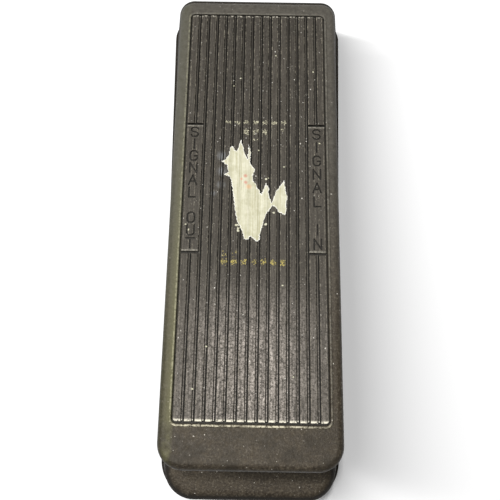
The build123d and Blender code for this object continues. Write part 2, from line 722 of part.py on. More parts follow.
# ================================================================ pinion body
PINION_HALF_WIDTH = 4.0
HUB_END = -8.4
HUB_RADIUS = 5.2
SET_SCREW_X = (HUB_END - PINION_HALF_WIDTH) / 2
SET_SCREW_RADIUS = 1.0


def tooth_half_angle(radius):
    """Half the angle that an involute tooth takes up at a radius."""
    def involute(angle):
        return tan(angle) - angle

    flank = radians(PRESSURE_ANGLE)
    base = PITCH_RADIUS * cos(flank)
    at_pitch = pi / (2 * PINION_TEETH) - BACKLASH / PITCH_RADIUS
    return at_pitch + involute(flank) - involute(acos(min(1.0, base / radius)))


def flank_points(side):
    """Four points along one flank, from the base circle to the tip."""
    base = PITCH_RADIUS * cos(radians(PRESSURE_ANGLE))
    tip = PITCH_RADIUS + ADDENDUM
    radii = [base + (tip - base) * step / 3 for step in range(4)]
    return [(r * cos(tooth_half_angle(r)), side * r * sin(tooth_half_angle(r))) for r in radii]


with BuildPart() as pinion:
    with BuildSketch(Plane.YZ.offset(-PINION_HALF_WIDTH)):
        with Locations((PINION_Y, PINION_Z)):
            Circle(PITCH_RADIUS - DEDENDUM)
            with PolarLocations(0, PINION_TEETH, start_angle=180):
                with BuildSketch(mode=Mode.PRIVATE) as tooth:
                    with BuildLine():
                        upper = Spline(*flank_points(1))
                        lower = Spline(*flank_points(-1))
                        Line(upper @ 1, lower @ 1)
                        Polyline(upper @ 0, (3.8, (upper @ 0).Y), (3.8, (lower @ 0).Y), lower @ 0)
                    make_face()
                add(tooth.sketch)
            Circle(SHAFT_RADIUS + 0.02, mode=Mode.SUBTRACT)
    extrude(amount=2 * PINION_HALF_WIDTH)
    with BuildSketch(Plane.YZ.offset(HUB_END)):
        with Locations((PINION_Y, PINION_Z)):
            Circle(HUB_RADIUS)
            Circle(SHAFT_RADIUS + 0.02, mode=Mode.SUBTRACT)
    extrude(amount=-HUB_END - PINION_HALF_WIDTH)
    with BuildSketch(Plane.XY.offset(PINION_Z)):
        with Locations((SET_SCREW_X, PINION_Y)):
            Circle(SET_SCREW_RADIUS + 0.03)
    extrude(amount=HUB_RADIUS + 1, mode=Mode.SUBTRACT)
keep(pinion.part, "pinion_gear")

SHAFT_FLAT = SHAFT_RADIUS - 0.7
with BuildPart() as pinion_set_screw:
    with BuildSketch(Plane.XY.offset(PINION_Z + SHAFT_FLAT)):
        with Locations((SET_SCREW_X, PINION_Y)):
            Circle(SET_SCREW_RADIUS)
    extrude(amount=2.6)
    with BuildSketch(Plane.XY.offset(PINION_Z + SHAFT_FLAT + 2.6)):
        with Locations((SET_SCREW_X, PINION_Y)):
            Rectangle(3, 0.4)
    extrude(amount=-0.7, mode=Mode.SUBTRACT)
keep(pinion_set_screw.part, "pinion_set_screw")

ROTOR_X = CAN_START + 3.2
WIPER_GAP = 0.3
SHAFT_START = HUB_END - 0.6
with BuildPart() as pot_shaft:
    with BuildSketch(Plane.YZ.offset(SHAFT_START)):
        with Locations((PINION_Y, PINION_Z)):
            Circle(SHAFT_RADIUS)
    extrude(amount=ROTOR_X + 3.0 - SHAFT_START)
    chamfer(pot_shaft.edges().group_by(Axis.X)[0], 0.5)
    # the flat on the free end
    with BuildSketch(Plane.YZ.offset(SHAFT_START)):
        with Locations((PINION_Y, PINION_Z + SHAFT_FLAT)):
            Rectangle(8, 3, align=(Align.CENTER, Align.MIN))
    extrude(amount=-PINION_HALF_WIDTH - SHAFT_START, mode=Mode.SUBTRACT)
keep(pot_shaft.part, "pot_shaft")

with BuildPart() as pot_rotor:
    with BuildSketch(Plane.YZ.offset(ROTOR_X)):
        with Locations((PINION_Y, PINION_Z)):
            Circle(9.4)
            Circle(SHAFT_RADIUS + 0.02, mode=Mode.SUBTRACT)
    extrude(amount=2.0)
keep(pot_rotor.part, "pot_rotor")

with BuildPart() as pot_wiper:
    with BuildSketch(Plane.YZ.offset(ROTOR_X - 0.5)):
        with Locations((PINION_Y, PINION_Z)):
            Circle(5.6)
            Rectangle(3, 8.6, align=(Align.CENTER, Align.MIN))
            Circle(SHAFT_RADIUS + 0.1, mode=Mode.SUBTRACT)
    extrude(amount=0.5)
    # the contact that rides on the track
    with BuildSketch(Plane.YZ.offset(TERMINAL_X + WIPER_GAP)):
        with Locations((PINION_Y, PINION_Z + 7.6)):
            Rectangle(3, 1.6)
    extrude(amount=ROTOR_X - 0.5 - TERMINAL_X - WIPER_GAP)
keep(pot_wiper.part, "pot_wiper")

# ================================================================ treadle body, drawn level about the pivot
with BuildPart() as treadle:
    flare = (TREADLE_TOP - SKIRT_APEX) * tan(radians(TREADLE_FLARE))
    with BuildSketch(Plane.XY.offset(SKIRT_APEX)):
        add(treadle_outline(-flare))
    extrude(amount=TREADLE_TOP - SKIRT_APEX, taper=TREADLE_FLARE)
    fillet(treadle.edges().group_by(Axis.Z)[-1], TREADLE_EDGE_RADIUS)
    # the skirt's lower edge is a shallow V, level with the deck when that end is down
    with BuildSketch(Plane.YZ):
        half = TREADLE_LENGTH / 2
        with BuildLine():
            Polyline(
                (-half - 5, SKIRT_END + 5 * tan(TILT_RAD)),
                (0, SKIRT_APEX),
                (half + 5, SKIRT_END + 5 * tan(TILT_RAD)),
                (half + 5, TREADLE_TOP + 1),
                (-half - 5, TREADLE_TOP + 1),
                close=True,
            )
        make_face()
    extrude(amount=TREADLE_WIDTH, both=True, mode=Mode.INTERSECT)
    inner_flare = (TREADLE_UNDERSIDE - SKIRT_APEX) * tan(radians(TREADLE_FLARE))
    with BuildSketch(Plane.XY.offset(SKIRT_APEX)):
        add(treadle_outline(TREADLE_WALL - inner_flare))
    extrude(amount=TREADLE_UNDERSIDE - SKIRT_APEX, taper=TREADLE_FLARE, mode=Mode.SUBTRACT)
    # stiffening ribs under the plate
    with BuildSketch(Plane.XY.offset(TREADLE_UNDERSIDE - STIFFENER_DEPTH)):
        for y in STIFFENER_PLACES:
            with Locations((0, y)):
                Rectangle(TREADLE_WIDTH - 2 * TREADLE_WALL, STIFFENER_WIDTH)
        with GridLocations(STIFFENER_SPACING, 1, 2, 1):
            Rectangle(STIFFENER_WIDTH, max(STIFFENER_PLACES) - min(STIFFENER_PLACES))
    extrude(amount=STIFFENER_DEPTH + 0.5)
    # lugs that ride on the axle
    for x in (LUG_INNER, -LUG_OUTER):
        with BuildSketch(Plane.YZ.offset(x)):
            Circle(BOSS_RADIUS)
            with Locations((0, TREADLE_UNDERSIDE / 2)):
                Trapezoid(32, TREADLE_UNDERSIDE + 0.5, 60, rotation=180)
        extrude(amount=LUG_OUTER - LUG_INNER)
    with BuildSketch(Plane.YZ.offset(-LUG_OUTER - 1)):
        Circle(4.8)
    extrude(amount=2 * LUG_OUTER + 2, mode=Mode.SUBTRACT)
    # ears that carry the rack's pin
    for x in (4.5, -7.5):
        with BuildSketch(Plane.YZ.offset(x)):
            with Locations((RACK_ARM, RACK_PIN_RISE)):
                Circle(3.5)
                Rectangle(7, TREADLE_UNDERSIDE + 0.5 - RACK_PIN_RISE, align=(Align.CENTER, Align.MIN))
                Circle(RACK_PIN_RADIUS + 0.02, mode=Mode.SUBTRACT)
        extrude(amount=3)
    # the recess for the mat, and the bead round it
    recess_width = MAT_WIDTH + 2 * RECESS_GAP
    recess_length = MAT_LENGTH + 2 * RECESS_GAP
    recess_corner = MAT_CORNER + RECESS_GAP
    with BuildSketch(Plane.XY.offset(TREADLE_TOP)):
        with Locations((0, MAT_CENTRE)):
            RectangleRounded(recess_width, recess_length, recess_corner)
    extrude(amount=-RECESS_DEPTH, mode=Mode.SUBTRACT)
    with BuildSketch(Plane.XY.offset(TREADLE_TOP - 0.1)):
        with Locations((0, MAT_CENTRE)):
            RectangleRounded(
                recess_width + 2 * BEAD_WIDTH, recess_length + 2 * BEAD_WIDTH, recess_corner + BEAD_WIDTH
            )
            RectangleRounded(recess_width, recess_length, recess_corner, mode=Mode.SUBTRACT)
    extrude(amount=BEAD_HEIGHT + 0.1)
    fillet(treadle.edges().group_by(Axis.Z)[-1], 0.45)
keep(treadle.part.moved(REST), "treadle_casting")

# each letter's strokes, as corners in a box one unit wide and one high
LETTER_STROKES = {
    "A": [[(0, 0), (0.5, 1), (1, 0)], [(0.2, 0.35), (0.8, 0.35)]],
    "G": [
        [(0.95, 0.82), (0.72, 1), (0.28, 1), (0.05, 0.78), (0.05, 0.22), (0.28, 0), (0.72, 0), (0.95, 0.2)],
        [(0.95, 0.2), (0.95, 0.46), (0.6, 0.46)],
    ],
    "I": [[(0.5, 0), (0.5, 1)]],
    "L": [[(0.1, 1), (0.1, 0), (0.9, 0)]],
    "N": [[(0.05, 0), (0.05, 1), (0.95, 0), (0.95, 1)]],
    "O": [
        [(0.28, 0), (0.05, 0.22), (0.05, 0.78), (0.28, 1), (0.72, 1)],
        [(0.72, 1), (0.95, 0.78), (0.95, 0.22), (0.72, 0), (0.28, 0)],
    ],
    "S": [
        [(0.95, 0.82), (0.72, 1), (0.28, 1), (0.05, 0.82), (0.05, 0.68), (0.28, 0.52)],
        [(0.28, 0.52), (0.72, 0.48), (0.95, 0.32), (0.95, 0.18), (0.72, 0), (0.28, 0), (0.05, 0.18)],
    ],
    "T": [[(0, 1), (1, 1)], [(0.5, 1), (0.5, 0)]],
    "U": [[(0.05, 1), (0.05, 0.22), (0.28, 0), (0.72, 0), (0.95, 0.22), (0.95, 1)]],
}


def letter(name):
    """A letter's strokes, round at their ends, as a sketch centred on its box."""
    with BuildSketch() as drawn:
        for stroke in LETTER_STROKES[name]:
            points = [((x - 0.5) * LETTER_WIDTH, (y - 0.5) * LETTER_HEIGHT) for x, y in stroke]
            with BuildLine() as line:
                Polyline(*points)
            for edge in line.edges():
                add(SlotArc(edge, LETTER_STROKE, mode=Mode.PRIVATE))
    return drawn.sketch


with BuildPart() as tread_mat:
    mat_floor = TREADLE_TOP - RECESS_DEPTH
    rib_floor = mat_floor + MAT_BASE
    rib_top = rib_floor + RIB_HEIGHT
    rib_length = MAT_LENGTH - 2 * RIB_END_MARGIN
    with BuildSketch(Plane.XY.offset(mat_floor)):
        with Locations((0, MAT_CENTRE)):
            RectangleRounded(MAT_WIDTH, MAT_LENGTH, MAT_CORNER)
    extrude(amount=MAT_BASE)
    with BuildSketch(Plane.XY.offset(rib_floor)):
        with Locations((0, MAT_CENTRE)):
            RectangleRounded(2 * LABEL_OUTER, rib_length, MAT_CORNER - RIB_END_MARGIN)
            with GridLocations(RIB_PITCH, 1, RIB_COUNT - 1, 1):
                Rectangle(GROOVE_WIDTH, rib_length, mode=Mode.SUBTRACT)
        # the two outer ribs on each side give way to a plain label panel
        with Locations((0, LABEL_CENTRE)):
            with GridLocations(2 * LABEL_X, 1, 2, 1):
                Rectangle(LABEL_WIDTH, LABEL_LENGTH + 2 * LABEL_GAP, mode=Mode.SUBTRACT)
                Rectangle(LABEL_WIDTH, LABEL_LENGTH)
    extrude(amount=RIB_HEIGHT)
    fillet(tread_mat.edges().group_by(Axis.Z)[-1], 0.3)
    # a fine ridge along every groove
    with BuildSketch(Plane.XY.offset(rib_floor)):
        with Locations((FINE_RIDGE_SHIFT, MAT_CENTRE)):
            with GridLocations(RIB_PITCH, 1, RIB_COUNT - 1, 1):
                Rectangle(FINE_RIDGE_WIDTH, rib_length - 0.8)
        with Locations((0, LABEL_CENTRE)):
            with GridLocations(2 * LABEL_X, 1, 2, 1):
                Rectangle(LABEL_WIDTH, LABEL_LENGTH + 2 * LABEL_GAP, mode=Mode.SUBTRACT)
    extrude(amount=FINE_RIDGE_HEIGHT)
    # the labels, engraved one letter above another
    with BuildSketch(Plane.XY.offset(rib_top)):
        for text, x in ((LEFT_LABEL, -LABEL_X), (RIGHT_LABEL, LABEL_X)):
            step = LABEL_LENGTH / (len(text) + 0.2)
            for place, name in enumerate(text):
                if name != " ":
                    y = LABEL_CENTRE + ((len(text) - 1) / 2 - place) * step
                    with Locations((x, y)):
                        add(letter(name))
    extrude(amount=-LETTER_DEPTH, mode=Mode.SUBTRACT)
keep(tread_mat.part.moved(REST), "tread_mat")

for side, label in ((1, "axle_bushing_right"), (-1, "axle_bushing_left")):
    with BuildPart() as axle_bushing:
        with BuildSketch(Plane.YZ.offset(side * LUG_INNER)):
            Circle(4.75)
        extrude(amount=side * (LUG_OUTER - LUG_INNER))
        with BuildSketch(Plane.YZ.offset(side * LUG_OUTER)):
            Circle(6.5)
        extrude(amount=side * 0.8)
        with BuildSketch(Plane.YZ.offset(side * (LUG_INNER - 1))):
            Circle(AXLE_RADIUS + RUNNING)
        extrude(amount=side * (LUG_OUTER - LUG_INNER + 3), mode=Mode.SUBTRACT)
    keep(axle_bushing.part.moved(REST), label)

PIN_END = 9.4
PIN_CLIP_X = 7.7
with BuildPart() as rack_pin:
    with BuildSketch(Plane.YZ.offset(-PIN_END)):
        with Locations((RACK_ARM, RACK_PIN_RISE)):
            Circle(RACK_PIN_RADIUS)
    extrude(amount=2 * PIN_END)
    for side in (1, -1):
        with BuildSketch(Plane.YZ.offset(side * PIN_CLIP_X)):
            with Locations((RACK_ARM, RACK_PIN_RISE)):
                Circle(3)
                Circle(1.1, mode=Mode.SUBTRACT)
        extrude(amount=side * 0.6, mode=Mode.SUBTRACT)
keep(rack_pin.part.moved(REST), "rack_pin")

with BuildPart() as rack_pin_clips:
    for x in (PIN_CLIP_X + 0.05, -PIN_CLIP_X - 0.55):
        with BuildSketch(Plane.YZ.offset(x)):
            with Locations((RACK_ARM, RACK_PIN_RISE)):
                add(clip_outline(1.13, 3.0))
        extrude(amount=0.5)
keep(rack_pin_clips.part.moved(REST), "rack_pin_clips")

# ================================================================ write one STEP for each node
os.makedirs("parts", exist_ok=True)
for piece in made:
    export_step(piece, f"parts/{piece.label}.step")
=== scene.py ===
import math
import random

import bpy
from mathutils import Matrix, Vector
from mathutils.geometry import delaunay_2d_cdt


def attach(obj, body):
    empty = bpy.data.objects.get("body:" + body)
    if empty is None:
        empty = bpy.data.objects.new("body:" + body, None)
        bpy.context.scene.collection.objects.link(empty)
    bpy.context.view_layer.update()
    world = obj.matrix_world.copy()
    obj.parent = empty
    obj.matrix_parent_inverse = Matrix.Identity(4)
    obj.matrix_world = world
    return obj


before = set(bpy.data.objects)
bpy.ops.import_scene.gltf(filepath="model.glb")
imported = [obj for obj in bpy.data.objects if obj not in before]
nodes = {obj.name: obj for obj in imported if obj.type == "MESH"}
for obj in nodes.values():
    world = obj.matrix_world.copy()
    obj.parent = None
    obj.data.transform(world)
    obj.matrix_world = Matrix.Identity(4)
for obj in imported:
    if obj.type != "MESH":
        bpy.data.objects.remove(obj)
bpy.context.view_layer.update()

MM = 0.001
PIVOT = Vector((0.0, 3.6, 50.0)) * MM
TILT = math.radians(9.3)
TREAD_TO_WORLD = Matrix.Translation(PIVOT) @ Matrix.Rotation(-TILT, 4, "X")

# the chassis, in millimetres from the floor
DECK_TOP = 42.0

# the treadle and its mat, in millimetres in the treadle's own frame, which starts at the middle of the
# pivot axle: X right, Y to the toe, Z up
PLATE_TOP = 20.0
RIB_PITCH = 4.24
RIB_WIDTH = 2.79
RIB_TOP = 21.1
RIBS_HEEL_END = -90.4
RIBS_TOE_END = 100.1
LABEL_INNER = 24.05
LABEL_CENTRE = 11.1
LABEL_LENGTH = 60.6

# the paper: how thick, how far it sags into a groove and lifts off the mat, and how its edge is torn
PAPER_THICKNESS = 0.12
PAPER_SAG = 0.16
PAPER_LIFT = 0.03
PAPER_GRID = 0.42
TEAR_STEP = 0.45
TEAR_ROUGHNESS = 0.27

# the flakes of paint: their upper and lower faces over the rib tops
FLAKE_TOP = 0.07
FLAKE_BOTTOM = -0.02

# the camera: its place in millimetres, the way it looks and the way that is right for it
CAMERA_LENS = 50.4
CAMERA_PLACE = (-0.36, -55.73, 372.76)
CAMERA_RIGHT = (0.99985, 0.01729, -0.00164)
CAMERA_AHEAD = (-0.00417, 0.14758, -0.98904)

# lights and floor, in metres
KEY_PLACE, KEY_SIZE, KEY_POWER = (-0.08, 0.18, 1.2), (0.06, 0.06), 5.4
SIDE_PLACE, SIDE_SIZE, SIDE_POWER = (-0.55, 0.12, 1.05), (0.1, 0.8), 11.5
LIGHT_TARGET = Vector((0, 0, 0.05))
WORLD_STRENGTH = 0.36
FLOOR_HALF = 2.0


# ---------------------------------------------------------------- camera and light


def place_camera():
    data = bpy.data.cameras.new("camera")
    data.lens = CAMERA_LENS
    data.sensor_width = 36.0
    data.clip_start = 0.01
    camera = bpy.data.objects.new("camera", data)
    bpy.context.scene.collection.objects.link(camera)
    right = Vector(CAMERA_RIGHT).normalized()
    ahead = Vector(CAMERA_AHEAD).normalized()
    turn = Matrix((right, right.cross(ahead), -ahead)).transposed().to_4x4()
    camera.matrix_world = Matrix.Translation(Vector(CAMERA_PLACE) * MM) @ turn
    bpy.context.scene.camera = camera


def area_light(name, position, size, power):
    """A white rectangle of light, aimed at the middle of the pedal."""
    data = bpy.data.lights.new(name, "AREA")
    data.shape = "RECTANGLE"
    data.size, data.size_y = size
    data.energy = power
    light = bpy.data.objects.new(name, data)
    bpy.context.scene.collection.objects.link(light)
    light.location = position
    aim = LIGHT_TARGET - Vector(position)
    light.rotation_euler = aim.to_track_quat("-Z", "Y").to_euler()


# ---------------------------------------------------------------- shader helpers


class Shader:
    """A material whose nodes are made one call at a time; inputs may be sockets or values."""

    def __init__(self, name):
        self.material = bpy.data.materials.new(name)
        self.material.use_nodes = True
        self.tree = self.material.node_tree
        self.tree.nodes.clear()
        self.output = self.tree.nodes.new("ShaderNodeOutputMaterial")
        self.principled = self.tree.nodes.new("ShaderNodeBsdfPrincipled")
        self.link(self.principled.outputs[0], self.output.inputs["Surface"])

    def link(self, source, target):
        self.tree.links.new(source, target)

    def put(self, socket, value):
        if isinstance(value, bpy.types.NodeSocket):
            self.link(value, socket)
        elif socket.type == "RGBA" and len(value) == 3:
            socket.default_value = (*value, 1.0)
        else:
            socket.default_value = value

    def set(self, name, value):
        self.put(self.principled.inputs[name], value)

    def node(self, kind, settings=None, **inputs):
        node = self.tree.nodes.new(kind)
        for key, value in (settings or {}).items():
            setattr(node, key, value)
        for key, value in inputs.items():
            self.put(node.inputs[key.replace("_", " ")], value)
        return node

    def place(self, scale=(1, 1, 1), tread=False):
        """The point being shaded, in millimetres times scale; in the treadle's own frame if asked."""
        where = self.node("ShaderNodeTexCoord").outputs["Object"]
        if tread:
            mapped = self.node("ShaderNodeMapping", {"vector_type": "TEXTURE"}, Vector=where)
            mapped.inputs["Location"].default_value = PIVOT
            mapped.inputs["Rotation"].default_value = (-TILT, 0, 0)
            mapped.inputs["Scale"].default_value = (MM, MM, MM)
            where = mapped.outputs[0]
        else:
            where = self.scaled(where, (1 / MM, 1 / MM, 1 / MM))
        return self.scaled(where, scale) if tuple(scale) != (1, 1, 1) else where

    def scaled(self, vector, scale):
        node = self.tree.nodes.new("ShaderNodeVectorMath")
        node.operation = "MULTIPLY"
        self.put(node.inputs[0], vector)
        self.put(node.inputs[1], scale)
        return node.outputs[0]

    def axes(self, vector):
        return self.node("ShaderNodeSeparateXYZ", Vector=vector).outputs

    def math(self, operation, a, b=0.0, clamp=False):
        node = self.tree.nodes.new("ShaderNodeMath")
        node.operation = operation
        node.use_clamp = clamp
        for socket, value in zip(node.inputs, (a, b)):
            self.put(socket, value)
        return node.outputs[0]

    def remap(self, value, low, high, to_low=0.0, to_high=1.0, smooth=False):
        node = self.tree.nodes.new("ShaderNodeMapRange")
        node.interpolation_type = "SMOOTHSTEP" if smooth else "LINEAR"
        for socket, given in zip(node.inputs, (value, low, high, to_low, to_high)):
            self.put(socket, given)
        return node.outputs[0]

    def noise(self, vector, scale, detail=4.0, roughness=0.55):
        made = self.node("ShaderNodeTexNoise", Vector=vector)
        made.inputs["Scale"].default_value = scale
        made.inputs["Detail"].default_value = detail
        made.inputs["Roughness"].default_value = roughness
        return made.outputs[0]

    def cells(self, vector, scale):
        """The distance to the nearest of scattered points, 1 / scale apart."""
        made = self.node("ShaderNodeTexVoronoi", Vector=vector)
        made.inputs["Scale"].default_value = scale
        return made.outputs["Distance"]

    def flecks(self, place, scale, sizes, patches):
        """Sparse irregular specks in patches; sizes and patches say where each begins and is full."""
        wobble = self.tree.nodes.new("ShaderNodeVectorMath")
        wobble.operation = "ADD"
        self.put(wobble.inputs[0], place)
        shift = self.node("ShaderNodeTexNoise", Vector=place)
        shift.inputs["Scale"].default_value = 1.7
        self.link(shift.outputs["Color"], wobble.inputs[1])
        spot = self.remap(self.cells(wobble.outputs[0], scale), *sizes)
        return self.times(spot, self.remap(self.noise(place, 0.3, 2.0), *patches))

    def mix(self, factor, a, b):
        """Colour a, giving way to b as the factor goes from 0 to 1."""
        node = self.tree.nodes.new("ShaderNodeMix")
        node.data_type = "RGBA"
        node.clamp_factor = True
        self.put(node.inputs[0], factor)
        self.put(node.inputs[6], a)
        self.put(node.inputs[7], b)
        return node.outputs[2]

    def blob(self, place, x, y, radius):
        """1 near a point on the tread, falling to 0 at the radius."""
        axes = self.axes(place)
        dx = self.math("SUBTRACT", axes[0], x)
        dy = self.math("SUBTRACT", axes[1], y)
        squares = self.math("ADD", self.times(dx, dx), self.times(dy, dy))
        return self.remap(self.math("SQRT", squares), radius, radius * 0.1, 0.0, 1.0, True)

    def times(self, *values):
        """The product of the values."""
        product = values[0]
        for value in values[1:]:
            product = self.math("MULTIPLY", product, value)
        return product

    def bump(self, height, strength, distance):
        node = self.tree.nodes.new("ShaderNodeBump")
        node.inputs["Strength"].default_value = strength
        node.inputs["Distance"].default_value = distance
        self.put(node.inputs["Height"], height)
        return node.outputs[0]

    def edges(self, radius):
        """About 0 on open surface, rising towards 1 along edges tighter than radius, in metres."""
        bevel = self.tree.nodes.new("ShaderNodeBevel")
        bevel.samples = 4
        bevel.inputs["Radius"].default_value = radius
        geometry = self.tree.nodes.new("ShaderNodeNewGeometry")
        dot = self.tree.nodes.new("ShaderNodeVectorMath")
        dot.operation = "DOT_PRODUCT"
        self.link(bevel.outputs[0], dot.inputs[0])
        self.link(geometry.outputs["Normal"], dot.inputs[1])
        return self.remap(dot.outputs["Value"], 0.995, 0.9, 0.0, 1.0)


def rgb(red, green, blue):
    """Linear colour from the 0 to 255 values that a screen shows."""

    def linear(value):
        value /= 255
        return value / 12.92 if value <= 0.04045 else ((value + 0.055) / 1.055) ** 2.4

    return (linear(red), linear(green), linear(blue))


def dress(material, *names):
    for name in names:
        mesh = nodes[name].data
        mesh.materials.clear()
        mesh.materials.append(material)


# ---------------------------------------------------------------- materials


def treadle_wear_and_shading(s, here, mottle, colour):
    """The treadle's paint: olive and painted paler at the left, its bead rubbed and painted with highlights,
    dusty at the toe, dark at the heel, and painted shade on the walls.
    """
    axes = s.axes(here)
    # olive tint and painted light: the left border is made paler and olive where the light from the left
    # falls on it, and a pale strip beside the mat is a painted highlight
    left = s.remap(axes[0], -31.5, -35.5, 0.0, 1.0, True)
    colour = s.mix(s.times(left, 0.4), colour, rgb(66, 68, 42))
    beside = s.times(s.remap(axes[0], -35.8, -33.4), s.remap(axes[0], -31.0, -32.6))
    beside = s.times(beside, s.remap(axes[1], 60.0, 10.0, 0.1, 0.42))
    colour = s.mix(beside, colour, rgb(112, 111, 76))
    # the bead round the mat is rubbed and carries painted highlights on its crest, strongest at the heel and
    # along the left where the light catches it
    bead = s.remap(axes[2], PLATE_TOP + 0.42, PLATE_TOP + 0.56, 0.0, 1.0, True)
    rubbed_and_glint = s.times(bead, s.remap(s.noise(here, 0.8, 5.0, 0.8), 0.42, 0.56))
    heel = s.times(s.remap(axes[1], -90.5, -92.0), s.remap(axes[0], 26.0, 10.0, 0.35, 1.0))
    colour = s.mix(s.times(rubbed_and_glint, 0.35), colour, rgb(146, 142, 130))
    colour = s.mix(s.times(rubbed_and_glint, heel), colour, rgb(222, 214, 186))
    colour = s.mix(s.times(rubbed_and_glint, left, 0.95), colour, rgb(214, 211, 160))
    # painted shade: below the plate's rounded edge the walls are darkened almost to black
    colour = s.mix(s.remap(axes[2], 19.9, 15.5, 0.0, 0.88), colour, rgb(15, 13, 10))
    # dust has settled on the toe half
    dusty = s.times(s.remap(axes[1], -70.0, 40.0), s.remap(mottle, 0.3, 0.7, 0.3, 0.6))
    colour = s.mix(s.times(dusty, s.remap(axes[2], 17.0, 19.5)), colour, rgb(92, 91, 86))
    # hands and shoes have darkened the heel end in patches
    handled = s.remap(s.noise(here, 0.12, 4.0, 0.7), 0.4, 0.6)
    grime = s.times(s.remap(axes[1], -88.0, -98.0), handled)
    return s.mix(s.times(grime, 0.8), colour, rgb(30, 26, 19))


def casting_paint(name, tread):
    """Old dark enamel on a die casting: fine orange peel, dust, rubbed edges and chips, with painted shade on
    the walls.
    """
    s = Shader(name)
    here = s.place(tread=tread)
    broad = s.noise(here, 0.035, 3.0)
    mottle = s.noise(here, 0.45, 5.0, 0.65)
    grain = s.noise(here, 1.05, 4.0, 0.8)
    colour = s.mix(s.remap(broad, 0.35, 0.65), rgb(38, 31, 22), rgb(49, 42, 32))
    colour = s.mix(s.remap(mottle, 0.42, 0.7, 0.0, 0.65), colour, rgb(74, 66, 53))
    colour = s.mix(s.remap(grain, 0.52, 0.68, 0.0, 0.6), colour, rgb(108, 101, 88))
    colour = s.mix(s.remap(grain, 0.47, 0.37, 0.0, 0.65), colour, rgb(14, 12, 9))
    colour = s.mix(s.flecks(here, 1.1, (0.13, 0.05), (0.46, 0.54)), colour, rgb(150, 144, 130))
    colour = s.mix(s.flecks(here, 0.4, (0.11, 0.05), (0.46, 0.52)), colour, rgb(216, 210, 198))
    height = s.axes(here)[2]
    worn = s.edges(0.0006)
    broken = s.remap(s.noise(here, 0.9, 5.0, 0.75), 0.5, 0.62)
    worn = s.math("MULTIPLY", worn, broken, clamp=True)
    if tread:
        colour = treadle_wear_and_shading(s, here, mottle, colour)
        # below the plate's rounded edge the paint is whole
        worn = s.times(worn, s.remap(height, 8.0, 16.0))
        wall = s.remap(height, 18.0, 13.0, 0.0, 2.2)
    else:
        # painted shade: the paint goes almost black where the deck rounds over to the walls
        wall = s.remap(height, DECK_TOP - 0.1, DECK_TOP - 1.1)
        colour = s.mix(s.times(wall, 0.92), colour, rgb(10, 8, 6))
    colour = s.mix(s.times(worn, 0.5), colour, rgb(150, 143, 120))
    s.set("Base Color", colour)
    gloss = s.remap(mottle, 0.3, 0.7, 0.42, 0.66)
    s.set("Roughness", s.math("ADD", gloss, s.times(wall, 0.22), clamp=True))
    s.set("Metallic", s.times(worn, 0.4))
    s.set("Specular IOR Level", 0.32)
    s.set("Specular Tint", (1.0, 0.92, 0.8))
    peel = s.math("ADD", s.times(s.cells(here, 1.3), 0.5), s.times(grain, 0.8))
    s.set("Normal", s.bump(peel, 0.5, 0.00022))
    return s.material


def rubbed_and_glinting_ends(s, axes, dirt, base):
    """The ends of the ribs and of the label panels, paler: rubbed, with painted highlights where the light
    catches them; brightest at the heel, broken at the toe.
    """
    ends = s.times(s.remap(axes[1], RIBS_HEEL_END + 0.8, RIBS_HEEL_END), s.remap(dirt, 0.4, 0.5))
    base = s.mix(ends, base, rgb(232, 226, 206))
    ends = s.times(s.remap(axes[1], RIBS_TOE_END - 0.7, RIBS_TOE_END), s.remap(dirt, 0.5, 0.57))
    base = s.mix(s.times(ends, 0.7), base, rgb(206, 200, 184))
    panel = s.remap(s.math("ABSOLUTE", axes[0]), LABEL_INNER - 0.2, LABEL_INNER)
    from_middle = s.math("ABSOLUTE", s.math("SUBTRACT", axes[1], LABEL_CENTRE))
    from_end = s.math("ABSOLUTE", s.math("SUBTRACT", from_middle, LABEL_LENGTH / 2))
    rubbed_and_glint = s.times(s.remap(from_end, 1.0, 0.5), s.remap(dirt, 0.4, 0.56))
    return s.mix(s.times(rubbed_and_glint, panel, 0.75), base, rgb(150, 146, 134))


